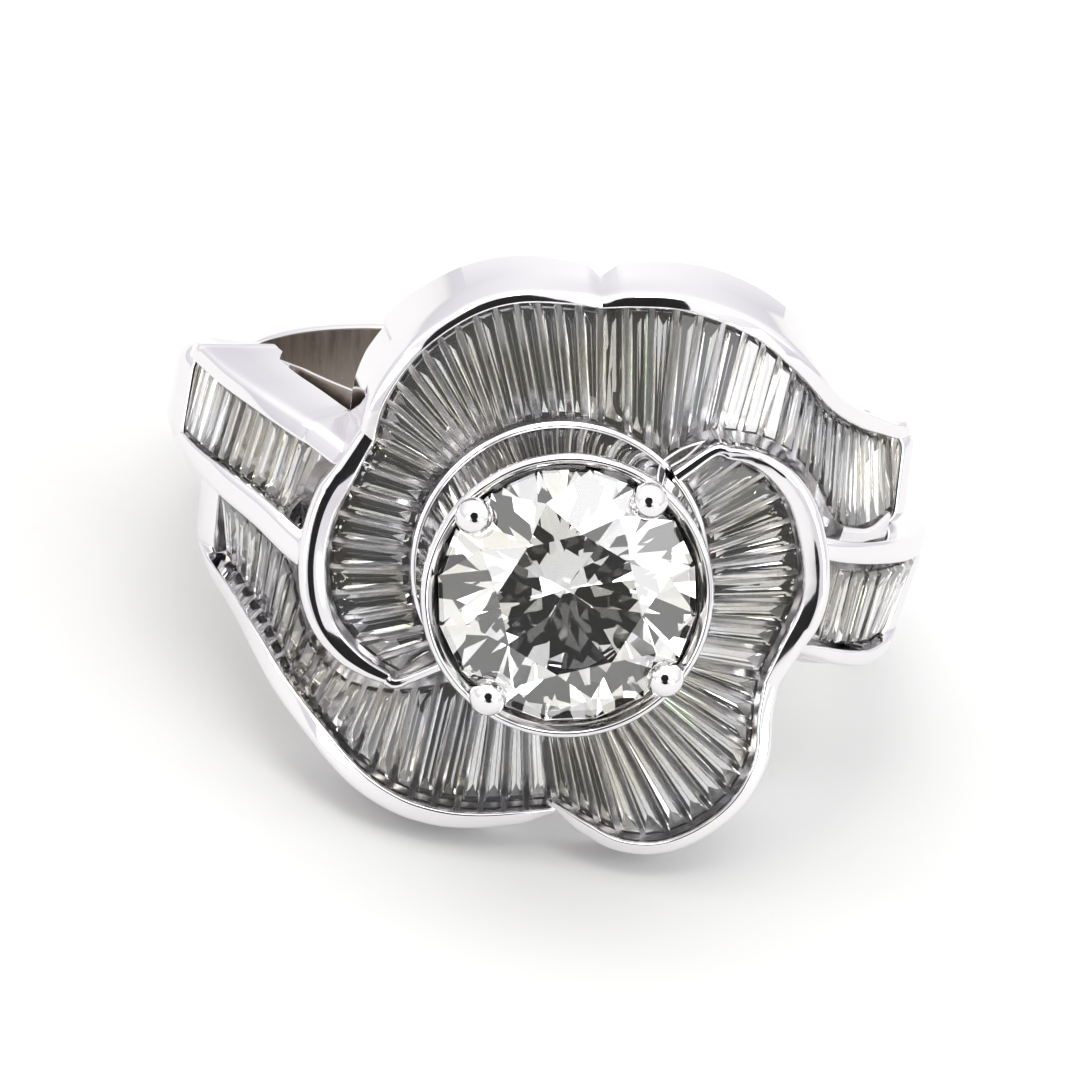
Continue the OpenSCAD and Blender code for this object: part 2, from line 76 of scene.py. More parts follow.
# One row per line across a field: the rail's edge x, y, z, then the stones' inner end,
# either as an angle round the collar or as x, y, z.
FIELDS = {
    "left_inner": [
        (-3.95, -3.75, 10.4, 225), (-4.95, -3.3, 10.3, 219), (-5.85, -2.5, 10.2, 205),
        (-6.3, -1.2, 10.1, 191), (-6.3, 0.15, 10.0, 177), (-5.95, 1.3, 9.95, 162),
        (-5.6, 2.4, 9.9, 150)],
    "upper_left": [
        (-5.6, 2.4, 9.9, 150), (-5.55, 3.3, 10.0, 145), (-5.25, 4.2, 10.1, 139),
        (-4.75, 5.1, 10.2, 132), (-3.95, 5.95, 10.25, 124), (-3.15, 6.5, 10.3, 115),
        (-2.25, 6.8, 10.3, 104), (-1.05, 6.9, 10.2, 91), (-0.35, 6.9, 10.1, 84)],
    "upper_right": [
        (-0.3, 6.9, 10.1, 84), (0.65, 7.1, 10.25, 68), (1.7, 7.2, 10.3, 55),
        (2.95, 7.0, 10.15, 2.85, 3.85, 9.65), (4.1, 6.55, 9.8, 3.85, 4.0, 9.45),
        (5.3, 5.7, 9.2, 5.15, 3.75, 9.2), (6.35, 4.75, 8.3, 6.3, 2.85, 9.0),
        (7.4, 4.1, 7.0, 7.2, 1.65, 8.3), (8.2, 3.7, 5.65, 8.1, 1.4, 6.9),
        (8.85, 3.4, 4.6, 8.75, 1.35, 5.2), (9.2, 3.35, 3.8, 9.05, 1.35, 4.2)],
    "right_inner": [
        (3.3, 3.5, 10.4, 44), (4.4, 3.35, 10.3, 33), (5.35, 2.6, 10.2, 21),
        (5.9, 1.55, 10.1, 11), (6.2, 0.6, 10.05, 3), (6.25, -0.25, 10.0, -7),
        (5.95, -1.4, 9.95, -19), (5.7, -2.4, 9.9, -32)],
    "lower_right": [
        (5.7, -2.5, 9.9, -32), (5.7, -3.45, 10.0, -37), (5.8, -4.55, 10.1, -45),
        (5.45, -5.65, 10.2, -52), (4.7, -6.55, 10.25, -59), (3.7, -7.15, 10.3, -66),
        (2.65, -7.25, 10.3, -71), (1.8, -7.0, 10.2, -78), (0.8, -6.6, 10.1, -87)],
    "lower_left": [
        (0.68, -6.75, 10.1, -87), (-0.15, -6.9, 10.25, -96), (-1.2, -7.1, 10.3, -106),
        (-2.25, -7.15, 10.3, -118), (-3.35, -7.0, 10.15, -3.2, -4.1, 9.65),
        (-4.5, -6.5, 9.8, -4.15, -4.35, 9.45), (-5.7, -5.55, 9.2, -5.3, -4.25, 9.3),
        (-6.7, -4.75, 8.4, -6.4, -3.45, 8.95), (-7.5, -4.0, 7.3, -7.2, -1.75, 8.3),
        (-8.25, -3.35, 5.9, -8.05, -1.1, 7.1), (-9.05, -2.8, 4.4, -9.1, -0.8, 5.1)],
    "left_shoulder": [
        (-10.3, 2.35, 3.35, -10.2, 0.32, 3.4), (-9.65, 2.25, 5.2, -9.65, 0.3, 5.3),
        (-8.75, 2.1, 6.9, -8.8, 0.2, 6.9), (-7.7, 1.85, 8.3, -7.8, -0.05, 8.25),
        (-7.25, 1.75, 8.75, -7.5, -0.2, 8.5)],
    "right_shoulder": [
        (7.4, -1.6, 8.65, 7.4, 0.55, 8.65), (8.0, -1.75, 8.1, 7.9, 0.45, 8.15),
        (8.75, -1.95, 6.95, 8.8, 0.25, 6.7), (9.3, -1.95, 5.85, 9.65, 0.1, 5.0),
        (9.55, -1.95, 5.2, 10.05, 0.05, 3.9)],
}

# How a rail is shaped along its length: fraction, width of its top, flare of its skirt
# and dish, where 0 is a plain rounded top and 1 slopes down to the stones.
RAIL_SHAPES = {
    "left_inner": [(0, 0.25, 0, 0.6), (0.12, 0.25, 0, 0.7), (0.3, 0.6, 0, 1),
                   (0.5, 0.74, 0, 1), (0.8, 0.74, 0, 1), (1, 0.5, 0.1, 0.4)],
    "upper_left": [(0, 0.45, 0.15, 0.3), (0.2, 0.4, 0.3, 0), (0.5, 0.34, 0.4, 0),
                   (0.8, 0.34, 0.5, 0), (0.95, 0.34, 0.45, 0), (1, 0.3, 0.2, 0)],
    "upper_right": [(0, 0.3, 0.2, 0), (0.04, 0.4, 0.45, 0), (0.2, 0.44, 0.5, 0),
                    (0.4, 0.45, 0.35, 0), (0.65, 0.45, 0.2, 0), (1, 0.35, 0.05, 0)],
    "lower_right": [(0, 0.45, 0.1, 0.3), (0.2, 0.44, 0.1, 0), (0.5, 0.42, 0.15, 0),
                    (0.9, 0.38, 0.15, 0), (1, 0.2, 0.05, 0)],
    "lower_left": [(0, 0.2, 0.05, 0), (0.05, 0.42, 0.1, 0), (0.2, 0.55, 0.1, 0),
                   (0.7, 0.62, 0.05, 0), (0.9, 0.52, 0, 0), (1, 0.3, 0, 0)],
    "left_shoulder": [(0, 0.3, 0.1, 0), (0.2, 0.45, 0.2, 0), (0.5, 0.5, 0.15, 0),
                      (0.75, 0.58, 0.1, 0), (0.9, 0.66, 0.1, 0.3), (1, 0.7, 0.1, 0.5)],
    "right_shoulder": [(0, 0.3, 0.1, 0), (0.2, 0.45, 0.25, 0), (0.5, 0.52, 0.35, 0),
                       (0.85, 0.52, 0.3, 0), (1, 0.4, 0.15, 0)],
    "right_inner": [(0, 0.38, 0, 0.4), (0.12, 0.33, 0, 0.4), (0.24, 0.44, 0, 0.6),
                    (0.33, 0.6, 0, 1), (0.5, 0.74, 0, 1), (0.8, 0.74, 0, 1), (1, 0.5, 0.1, 0.4)],
}

# One row per rail: field, shape, points before it, points after it, whether it leans with
# the shoulder, and the side its metal is on.
RAILS = [
    ("left_inner", "left_inner", [(-2.95, -3.1, 10.6)], [], False, 1),
    ("upper_left", "upper_left", [], [], False, 1),
    ("upper_right", "upper_right", [], [(9.35, 3.2, 3.2)], True, 1),
    ("right_inner", "right_inner", [(2.55, 2.8, 10.6)], [], False, 1),
    ("lower_right", "lower_right", [], [], False, 1),
    ("lower_left", "lower_left", [], [(-9.25, -2.6, 3.7)], True, 1),
    ("left_shoulder", "left_shoulder", [(-10.1, 1.8, 1.6), (-10.3, 2.15, 2.5)],
     [(-6.3, 1.35, 9.4), (-5.85, 1.2, 9.35)], True, 1),
    ("right_shoulder", "right_shoulder", [(6.5, -1.45, 9.3)],
     [(9.75, -1.85, 4.3), (9.85, -1.7, 2.8)], True, -1),
]

# Leaf-shaped slits over the lining: angle round the finger where each starts and where it
# ends, and the side of the ring that it is on.
SLITS = [(156, 131, 1), (-24, 41, -1)]
SLIT_R = 8.95  # radius of the lining under them
SLIT_Y = 1.5  # they run in from the sides as far as this
SLIT_HEIGHT = 0.42

# Bars between the two channels of a shoulder: middle x, y, z and width.
BARS = [
    [(-6.5, -1.1, 9.7, 1.0), (-7.3, -0.85, 9.2, 0.9), (-8.3, -0.42, 8.0, 0.85),
     (-9.3, -0.15, 6.45, 0.75), (-10.05, 0.0, 4.3, 0.5), (-10.45, 0.05, 2.3, 0.45),
     (-10.3, 0.05, 0.8, 0.45)],
    [(6.4, 1.3, 9.6, 0.6), (7.3, 1.1, 9.0, 0.6), (8.2, 0.9, 7.9, 0.62),
     (9.1, 0.7, 6.4, 0.68), (9.85, 0.5, 4.7, 0.75), (10.33, 0.4, 3.0, 0.75),
     (10.28, 0.35, 1.2, 0.6)],
]

# Ledges left as cast, in the same terms: between the right upper channel's stones and the
# bar, and between the upper right petal's stones and the start of the right inner rail.
LEDGES = [
    [(7.3, 1.42, 8.1, 0.38), (7.75, 1.25, 7.5, 0.42), (8.15, 1.1, 6.78, 0.44),
     (8.5, 1.04, 5.95, 0.44), (8.8, 1.03, 5.05, 0.44), (9.1, 1.03, 4.1, 0.44)],
    [(2.1, 2.85, 9.75, 0.4), (2.6, 3.3, 9.78, 0.42), (3.4, 3.62, 9.75, 0.42),
     (4.4, 3.58, 9.6, 0.4), (5.1, 3.38, 9.4, 0.34)],
]

# Rounded end of each channel: stones' end from one point to the other, and how far the
# toe reaches down at each.
TOES = [
    ((-10.25, -0.1, 3.3), (-10.25, 2.5, 3.2), 3.2, 1.8),
    ((9.35, -2.2, 5.2), (10.05, 0.3, 3.65), 3.8, 3.0),
    ((-9.0, -2.95, 4.1), (-9.15, 0.1, 4.4), 1.4, 4.0),
    ((9.3, 0.8, 3.9), (9.15, 3.35, 3.7), 3.5, 1.0),
]

# Band round the finger: angle from the back, half width and outer radius.
BAND = [
    (0, 1.65, 9.95), (60, 1.65, 10.1), (85, 1.75, 10.2), (97, 2.0, 9.9), (105, 2.5, 9.4),
    (111, 2.7, 9.0), (122, 2.85, 9.0), (140, 2.85, 9.1), (180, 2.85, 9.25)]

PRONG_ANGLES = (147, 61, -31, -119)
STEM_H, STEM_TOP_R, STEM_FOOT_R = 0.9, 0.42, 0.3  # of a prong
GIRDLE_DROP = 0.32  # round stone's girdle below the collar's lip

RAIL_STEPS = 150  # sections along each rail and bar
RUN_PAST = 0.12  # rails run this far into what they meet
LAYER = 0.006  # each wall's foot lies this much deeper than the last
HAIR = 0.004  # still counted as the surface of the finger hole
INSIDE_R = 8.2  # the solids' walls reach in to here
KEEL_ROOM = 0.85  # metal kept between a keel and INSIDE_R
BED_GAP = 0.27  # bed's depth below the keels
LEAN_FROM, LEAN_OVER, LEAN_MOST = 4.8, 5.8, 80  # the surface's lean begins, grows, ends
# Stage, in metres.
STAGE_TARGET = (0.0, 0.0, 0.008)  # what the lights and cards face
CAMERA_TARGET = (-0.64, -0.04, 8.0)  # in the design frame
CARD_AWAY = 0.26  # camera's dark card, from the stage target
FLOOR_HALF = 1.5
WHITE = (1.0, 1.0, 1.0)
# Softboxes: name, place, size, brightness and colour.
SOFTBOXES = [
    ("top_box", (-0.10, 0.10, 0.42), (0.30, 0.26), 2.0, WHITE),
    ("right_box", (0.36, -0.10, 0.20), (0.12, 0.20), 1.3, WHITE),
    ("left_box", (-0.36, -0.06, 0.24), (0.12, 0.20), 1.9, WHITE),
    # round the camera, where the baguettes' keels look
    ("front_left_box", (-0.24, -0.27, 0.07), (0.14, 0.12), 3.8, WHITE),
    ("front_right_box", (0.26, -0.27, 0.06), (0.14, 0.12), 3.8, WHITE),
    ("over_box", (0.0, -0.15, 0.36), (0.22, 0.10), 4.0, WHITE),
    ("front_high_box", (0.20, -0.22, 0.27), (0.13, 0.12), 3.0, WHITE),
    # small and tinted, for the faint fire in the stones
    ("amber_box", (-0.20, -0.22, 0.26), (0.035, 0.035), 5.0, (1.0, 0.82, 0.35)),
    ("blue_box", (0.22, -0.20, 0.24), (0.035, 0.035), 5.0, (0.45, 0.7, 1.0)),
    ("rose_box", (0.05, -0.12, 0.34), (0.03, 0.03), 5.0, (1.0, 0.55, 0.6)),
    ("green_box", (0.14, -0.30, 0.10), (0.03, 0.03), 4.0, (0.5, 1.0, 0.7)),
]

# Fields that lie flat on the flower, and those whose stones lie close under the rail.
FLAT_PETALS = {"left_inner", "upper_left", "right_inner", "lower_right"}
SHALLOW_FIELDS = FLAT_PETALS | {"left_shoulder", "right_shoulder"}


# Settings a user would change.
class RingSizes(bpy.types.PropertyGroup):
    """Sizes of the metal"""

    collar_r: FloatProperty(
        name="Collar radius", description="Outer radius of the collar",
        default=3.85 * MM, min=0.0, precision=5, unit="LENGTH")
    lip_z: FloatProperty(
        name="Collar lip", description="Height of the lip over the finger's middle",
        default=13.1 * MM, min=0.0, precision=5, unit="LENGTH")
    stone_r: FloatProperty(
        name="Stone radius", description="Girdle radius of the round stone",
        default=3.42 * MM, min=0.0, precision=5, unit="LENGTH")
    bead_r: FloatProperty(
        name="Bead radius", description="Radius of the bead on each prong",
        default=0.5 * MM, min=0.0, precision=5, unit="LENGTH")
    baguette_d: FloatProperty(
        name="Baguette depth", description="Table to keel of a baguette",
        default=0.8 * MM, min=0.0, precision=5, unit="LENGTH")
    petal_drop: FloatProperty(
        name="Petal drop", description="Baguettes' depth below a petal's rail",
        default=0.25 * MM, min=0.0, precision=5, unit="LENGTH")
    channel_drop: FloatProperty(
        name="Channel drop", description="Baguettes' depth below a long channel's rail",
        default=0.5 * MM, min=0.0, precision=5, unit="LENGTH")


class RingColours(bpy.types.PropertyGroup):
    """Colours of the finishes, as sRGB hex values"""

    white_gold: StringProperty(
        name="White gold", description="Reflected colour of the plated metal", default="#ECEAEC")
    # The finger hole's colour, a brown grey far darker than the white gold: painted shade and
    # painted dark reflection inside the hole and the slits.
    bore: StringProperty(
        name="Finger hole", description="Reflected colour of the satin finger hole",
        default="#8F857D")
    diamond: StringProperty(
        name="Diamond", description="Body colour of the stones", default="#FCFDFE")
    diamond_warm: StringProperty(
        name="Warmer diamond", description="Body colour of the warmest stones", default="#F5F2E6")
    horizon: StringProperty(
        name="Horizon", description="Colour of the room's walls near the floor", default="#D8D6DC")
    floor: StringProperty(
        name="Floor", description="Colour of the table under the ring", default="#D8D8D7")


class StageSettings(bpy.types.PropertyGroup):
    """Camera and light"""

    camera_azimuth: FloatProperty(
        name="Azimuth", description="Camera's side angle to the flower",
        default=math.radians(-6.1), subtype="ANGLE")
    camera_elevation: FloatProperty(
        name="Elevation", description="Camera's angle over the flower",
        default=math.radians(13.8), subtype="ANGLE")
    camera_roll: FloatProperty(
        name="Roll", description="Camera's roll", default=math.radians(10.1), subtype="ANGLE")
    camera_distance: FloatProperty(
        name="Distance", description="Camera to its target",
        default=220.0 * MM, min=0.0, subtype="DISTANCE")
    camera_lens: FloatProperty(
        name="Lens", description="Focal length on a 36 mm sensor",
        default=275.2, min=1.0, unit="CAMERA")
    sky_level: FloatProperty(
        name="Sky", description="Brightness of the room around", default=1.2, min=0.0)
    card_spread: FloatProperty(
        name="Dark card", description="Half the angle that the camera's dark card takes up",
        default=math.radians(22.5), min=0.0, max=math.radians(60.0), subtype="ANGLE")


# Places and curves.
def place_matrix():
    """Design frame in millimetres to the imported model's frame in metres."""
    along = Vector(BORE["axis"]).normalized()
    tip = math.asin(-along.x / math.sqrt(along.x ** 2 + along.z ** 2))
    across = Vector((math.cos(tip), 0.0, math.sin(tip)))
    out = across.cross(along).normalized()
    across = along.cross(out)
    turn = Matrix((across, along, out)).transposed().to_4x4()
    return Matrix.Translation(Vector(BORE["pos_m"])) @ turn @ Matrix.Scale(MM, 4)


PLACE = place_matrix()


def millimetres(sizes):
    """The sizes in millimetres, the unit of the tables."""
    return SimpleNamespace(**{key: getattr(sizes, key) / MM for key in sizes.__annotations__})


def unit(v):
    """Vector of length 1."""
    return v / np.linalg.norm(v)


def field_rows(name, collar_r):
    """Rows of a field with both ends as points."""
    rows = []
    for row in FIELDS[name]:
        if len(row) == 4:
            angle = math.radians(row[3])
            reach = collar_r + 0.1
            row = row[:3] + (CENTRE[0] + reach * math.cos(angle),
                             CENTRE[1] + reach * math.sin(angle), 9.75)
        rows.append(row)
    return np.array(rows, float)


def bend(rows, s):
    """Smooth curve through rows, at s rows from its start."""
    last = len(rows) - 1
    i = min(int(s), last - 1)
    t = s - i
    b, c = rows[i], rows[i + 1]
    a = rows[i - 1] if i > 0 else 2 * b - c
    d = rows[i + 2] if i < last - 1 else 2 * c - b
    return 0.5 * (2 * b + (c - a) * t + (2 * a - 5 * b + 4 * c - d) * t ** 2
                  + (3 * b - a - 3 * c + d) * t ** 3)


def even_curve(rows, steps):
    """Points evenly spaced along the smooth curve through rows."""
    rows = np.array(rows, float)
    fine = np.array([bend(rows, s) for s in np.linspace(0, len(rows) - 1, 40 * len(rows))])
    run = np.concatenate([[0], np.cumsum(np.linalg.norm(np.diff(fine[:, :3], axis=0), axis=1))])
    at = np.linspace(0, run[-1], steps + 1)
    return np.column_stack([np.interp(at, run, column) for column in fine.T])


def directions(points):
    """Unit tangents of a line of points."""
    steps = np.gradient(points[:, :3], axis=0)
    return steps / np.linalg.norm(steps, axis=1)[:, None]


def up_at(x, leans):
    """Outward direction of the surface: straight up on the flower, leaning on a shoulder."""
    if not leans:
        return np.array([0.0, 0.0, 1.0])
    t = min(1.0, max(0.0, (abs(x) - LEAN_FROM) / LEAN_OVER))
    lean = math.radians(LEAN_MOST * t * t * (3 - 2 * t))
    return np.array([math.sin(lean) * math.copysign(1, x), 0.0, math.cos(lean)])


def depth_to(radius, p, n):
    """How far below p, along n, the wall meets that radius round the finger."""
    b = n[0] * p[0] + n[2] * p[2]
    q = b * b - (p[0] ** 2 + p[2] ** 2 - radius ** 2)
    return b - math.sqrt(q) if q > 0 else b


def slit_share(x, y, z):
    """How far along its slit a point lies, from 0 to 1, or None beside the slits."""
    angle = math.degrees(math.atan2(z, x))
    for start, end, side in SLITS:
        f = (angle - start) / (end - start)
        if 0 < f < 1 and side * y > SLIT_Y:
            return f
    return None


def foot_of(q, n, radius):
    """Where the wall below q, along n, stops: at that radius or at the slit over the lining."""
    foot = q - n * depth_to(radius, q, n)
    f = slit_share(*foot)
    if f is None:
        return foot
    base = radius + (SLIT_R + 0.02 - radius) * min(1.0, 5 * f)
    lift = SLIT_HEIGHT * math.sin(math.radians(min(90, f * 110)))
    return q - n * depth_to(base + lift, q, n)


def rounded(points, trims, arc=5):
    """Open line of 2-D points with each inner corner cut to an arc, trims long on each side."""
    points = [np.array(p, float) for p in points]
    out = [points[0]]
    for i in range(1, len(points) - 1):
        p, q, r = points[i - 1], points[i], points[i + 1]
        before, after = np.linalg.norm(p - q), np.linalg.norm(r - q)
        cut = min(trims[i - 1], 0.5 * before, 0.5 * after)
        a, b = q + (p - q) * cut / before, q + (r - q) * cut / after
        for t in np.linspace(0, 1, arc):
            out.append((1 - t) ** 2 * a + 2 * t * (1 - t) * q + t ** 2 * b)
    return out + [points[-1]]


# Meshes.
class Metal:
    """Collects closed skins and makes them one mesh."""

    def __init__(self):
        self.points, self.faces, self.slots = [], [], []

    def skin(self, rings, looped=False, slot=POLISHED):
        """Closed skin over rings of equal length; looped joins the last ring to the first."""
        rings = np.array(rings, float)
        count, size = rings.shape[:2]
        quads = []
        for j in range(count if looped else count - 1):
            nxt = (j + 1) % count
            for i in range(size):
                k = (i + 1) % size
                quads.append([j * size + i, nxt * size + i, nxt * size + k, j * size + k])
        if not looped:
            quads.append(list(range(size)))
            quads.append([(count - 1) * size + i for i in reversed(range(size))])
        flat = rings.reshape(-1, 3)
        volume = sum(np.dot(flat[f[0]], np.cross(flat[f[i]], flat[f[i + 1]]))
                     for f in quads for i in range(1, len(f) - 1))
        if volume < 0:
            quads = [f[::-1] for f in quads]
        base = len(self.points)
        self.points += [tuple(p) for p in flat]
        self.faces += [[base + i for i in f] for f in quads]
        self.slots += [slot] * len(quads)

    def mesh(self, name):
        """All the skins as one mesh."""
        mesh = bpy.data.meshes.new(name)
        mesh.from_pydata(self.points, [], self.faces)
        mesh.polygons.foreach_set("material_index", self.slots)
        mesh.validate()
        return mesh


def mark_bore(mesh):
    """Give the finger hole and the inside of the slits the satin finish, whose darker colour is
    painted shade there.
    """
    for face in mesh.polygons:
        x, y, z = face.center
        radius = math.hypot(x, z)
        facing = (face.normal.x * x + face.normal.z * z) / radius
        in_hole = radius < FINGER_R + HAIR and facing < 0
        # a slit's first fifth is too low to look into
        in_slit = (radius < SLIT_R + 0.6 and abs(facing) > 0.6
                   and (slit_share(x, y, z) or 0) > 0.2)
        if in_hole or in_slit:
            # these faces take the satin finish with its painted shade
            face.material_index = SATIN_AND_PAINTED_SHADE


def finish_piece(name, mesh, materials, crease=38.0):
    """Object with its place in its mesh, smooth but for its creases, riding on the ring."""
    mesh.transform(PLACE)
    mesh.shade_smooth()
    mesh.set_sharp_from_angle(angle=math.radians(crease))
    piece = bpy.data.objects.new(name, mesh)
    bpy.context.scene.collection.objects.link(piece)
    slots = [face.material_index for face in mesh.polygons]
    mesh.materials.clear()
    for material in materials:
        mesh.materials.append(material)
    mesh.polygons.foreach_set("material_index", slots)
    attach(piece, BODY)
    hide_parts(MOUNT)


def wall_section(p, n, s, profile, radius, under=5):
    """Section of a wall: its profile of (across, up), closed by points on the finger hole."""
    top = [p + s * a + n * u for a, u in profile]
    first, last = profile[0][0], profile[-1][0]
    foot = []
    for t in np.linspace(0, 1, under):
        foot.append(foot_of(p + s * (last + (first - last) * t), n, radius))
    return top + foot


def rail_profile(w, flare, dish, reach):
    """Line over a rail's top, from the stones' edge to the foot of its skirt."""
    out = min(0.02, 0.06 * flare)
    plain = [(0, -reach), (0, 0), (0.12 * w, 0.07), (0.85 * w + out, -0.03),
             (w + out, -0.22), (w + 0.35 * flare, -0.8), (w + flare, -reach)]
    dished = [(0, -reach), (0, 0), (0.08 * w, 0.09), (0.6 * w, 0.16), (0.9 * w, 0.1),
              (w, -0.1), (w, -reach)]
    line = [np.array(a) * (1 - dish) + np.array(b) * dish for a, b in zip(plain, dished)]
    return rounded(line, (0.05, 0.12, 0.2, 0.3, 0.4))


def add_rail(metal, row, sizes, foot_r):
    """Rail along the outer edge of a field, from its crest down to the finger hole."""
    field, shape, before, after, leans, side = row
    rows = field_rows(field, sizes.collar_r)
    edge = [bend(rows, s)[:3] for s in np.linspace(0, len(rows) - 1, 25)]
    points = even_curve(before + [tuple(p) for p in edge] + after, RAIL_STEPS)
    dirs = directions(points)
    points[0] -= RUN_PAST * dirs[0]
    points[-1] += RUN_PAST * dirs[-1]
    table = np.array(RAIL_SHAPES[shape], float)
    rings = []
    for i, (p, d) in enumerate(zip(points, dirs)):
        f = i / RAIL_STEPS
        w, flare, dish = (np.interp(f, table[:, 0], table[:, k]) for k in (1, 2, 3))
        n = up_at(p[0], leans)
        s = side * unit(np.cross(n, d))
        skirt = p + s * (w + flare)
        reach = np.dot(skirt - foot_of(skirt, n, foot_r), n)
        rings.append(wall_section(p, n, s, rail_profile(w, flare, dish, reach), foot_r))
    metal.skin(rings)


def add_bar(metal, path, foot_r, slot=POLISHED):
    """Bar or ledge along a path of middle x, y, z and width."""
    points = even_curve(path, RAIL_STEPS)
    dirs = directions(points)
    rings = []
    for q, d in zip(points, dirs):
        p, half = q[:3], q[3] / 2
        n = up_at(p[0], True)
        s = unit(np.cross(n, d))
        reach = depth_to(foot_r, p, n)
        drop = min(0.12, 0.25 * half)
        line = [(-half, -reach), (-half, -drop), (-0.6 * half, 0), (0.6 * half, 0),
                (half, -drop), (half, -reach)]
        rings.append(wall_section(p, n, s, rounded(line, (0.1, 0.3, 0.3, 0.1)), foot_r))
    metal.skin(rings, slot=slot)


def keel(a, b, n, sizes):
    """Depth of a baguette over the finger, shallower where the band is thin."""
    return min(sizes.baguette_d, depth_to(INSIDE_R, a, n) - KEEL_ROOM,
               depth_to(INSIDE_R, b, n) - KEEL_ROOM)


def add_floor(metal, field, sizes, foot_r, steps=90):
    """Bed of a field, a little below the stones' keels."""
    leans = field not in FLAT_PETALS
    drop = sizes.petal_drop if field in SHALLOW_FIELDS else sizes.channel_drop
    points = even_curve(field_rows(field, sizes.collar_r), steps)
    dirs = directions(points)
    rings = []
    for i, (q, d) in enumerate(zip(points, dirs)):
        edge, inner = q[:3], q[3:]
        n = up_at((edge[0] + inner[0]) / 2, leans)
        e = unit(edge - inner)
        past = d * (-0.2 if i == 0 else 0.2 if i == steps else 0)
        below = keel(edge - n * drop, inner, n, sizes) + BED_GAP
        a = edge + e * 0.15 - n * (drop + below) + past
        b = inner - e * 0.2 - n * below + past
        foot = [a + (b - a) * t for t in np.linspace(0, 1, 9)]
        rings.append([b, a] + [foot_of(p, n, foot_r) for p in foot])
    metal.skin(rings, slot=BED)


def add_toe(metal, row, steps=28):
    """Rounded block that closes the end of a channel."""
    p, q, fall_p, fall_q = row
    p, q = np.array(p), np.array(q)
    s = math.copysign(1, p[0])
    rings = []
    for t in 0.5 - 0.5 * np.cos(np.linspace(0, math.pi, steps + 1)):
        o = p + (q - p) * t
        fall = fall_p + (fall_q - fall_p) * t
        k = 0.45 * (1 - math.sqrt(max(0.0, 1 - max(0.0, (abs(2 * t - 1) - 0.6) / 0.4) ** 2)))
        n = up_at(o[0], True)
        inner = FINGER_R + 0.1
        line = [(-1.6, -0.3 - 1.6 * n[2] / abs(n[0])), (-k, -0.05), (0.3 - k, -0.45),
                (0.42 - k, -0.5 * fall - 0.2), (0.2 - k, -fall - 0.3), (-1.6, -fall - 0.3)]
        ring = []
        for a, up in rounded(line, (0.12, 0.3, 0.6, 0.5)):
            x, z = o[0] + s * a, o[2] + up
            r = math.hypot(x, z)
            if r < inner:
                x, z = x * inner / r, z * inner / r
            ring.append((x, o[1], z))
        rings.append(ring)
    metal.skin(rings)


def add_band(metal, steps=240):
    """Band and lining, one loop round the finger."""
    table = np.array(BAND, float)
    rings = []
    for turn in np.linspace(-180, 180, steps, endpoint=False):
        half = np.interp(abs(turn), table[:, 0], table[:, 1])
        outer = np.interp(abs(turn), table[:, 0], table[:, 2])
        t = outer - FINGER_R
        line = [(FINGER_R, 0), (FINGER_R, -half), (FINGER_R + 0.45 * t, -half),
                (FINGER_R + 0.85 * t, -0.7 * half), (outer, -0.3 * half), (outer, 0.3 * half),
                (FINGER_R + 0.85 * t, 0.7 * half), (FINGER_R + 0.45 * t, half),
                (FINGER_R, half), (FINGER_R, 0)]
        soft = rounded(line, (0.12, 0.3, 0.6, 0.6, 0.6, 0.6, 0.3, 0.12))[:-1]
        a = math.radians(turn)
        ring = []
        for r, y in soft:
            if slit_share(math.sin(a), y, -math.cos(a)) is not None:
                r = min(r, SLIT_R)
            ring.append((r * math.sin(a), y, -r * math.cos(a)))
        rings.append(ring)
    metal.skin(rings, looped=True)


def add_collar(metal, sizes, steps=160):
    """High collar round the stone, with a thin bright lip and a funnel under the stone."""
    lip, r = sizes.lip_z, sizes.stone_r
    foot = sizes.collar_r + 0.11
    line = [(0.02, 8.8), (sizes.collar_r, 8.8), (sizes.collar_r, 9.84), (foot, 9.86),
            (foot, 9.93), (sizes.collar_r, 9.98), (sizes.collar_r, lip - 0.2),
            (sizes.collar_r - 0.06, lip - 0.04), (sizes.collar_r - 0.17, lip),
            (r + 0.08, lip - 0.22), (r + 0.06, lip - 0.56), (r - 0.25, lip - 0.78),
            (2.7, 10.2), (2.0, 9.55), (0.02, 9.55)]
    soft = rounded(line, (0.1, 0.02, 0.03, 0.03, 0.05, 0.06, 0.06, 0.06, 0.05, 0.05, 0.1,
                          0.3, 0.3))
    rings = []
    for turn in np.linspace(0, 2 * math.pi, steps, endpoint=False):
        rings.append([(CENTRE[0] + x * math.cos(turn), CENTRE[1] + x * math.sin(turn), z)
                      for x, z in soft])
    metal.skin(rings, looped=True)


# Nodes.
def linear(code):
    """sRGB hex colour as linear RGBA."""
    parts = [int(code[i:i + 2], 16) / 255 for i in (1, 3, 5)]
    return tuple(c / 12.92 if c <= 0.04045 else ((c + 0.055) / 1.055) ** 2.4
                 for c in parts) + (1.0,)


def add(tree, kind, inputs=(), **settings):
    """A node with its settings; inputs are values or the sockets that feed them."""
    node = tree.nodes.new(kind)
    for key, value in settings.items():
        setattr(node, key, value)
    for key, value in dict(inputs).items():
        if isinstance(value, bpy.types.NodeSocket):
            tree.links.new(value, node.inputs[key])
        else:
            node.inputs[key].default_value = value
    return node


def new_material(name, principled, link=None):
    """Principled material; link, if given, adds its nodes and feeds its sockets."""
    material = bpy.data.materials.new(name)
    material.use_nodes = True
    tree = material.node_tree
    tree.nodes.clear()
    shader = add(tree, "ShaderNodeBsdfPrincipled", principled)
    output = add(tree, "ShaderNodeOutputMaterial")
    tree.links.new(shader.outputs["BSDF"], output.inputs["Surface"])
    if link:
        link(tree, shader)
    return material


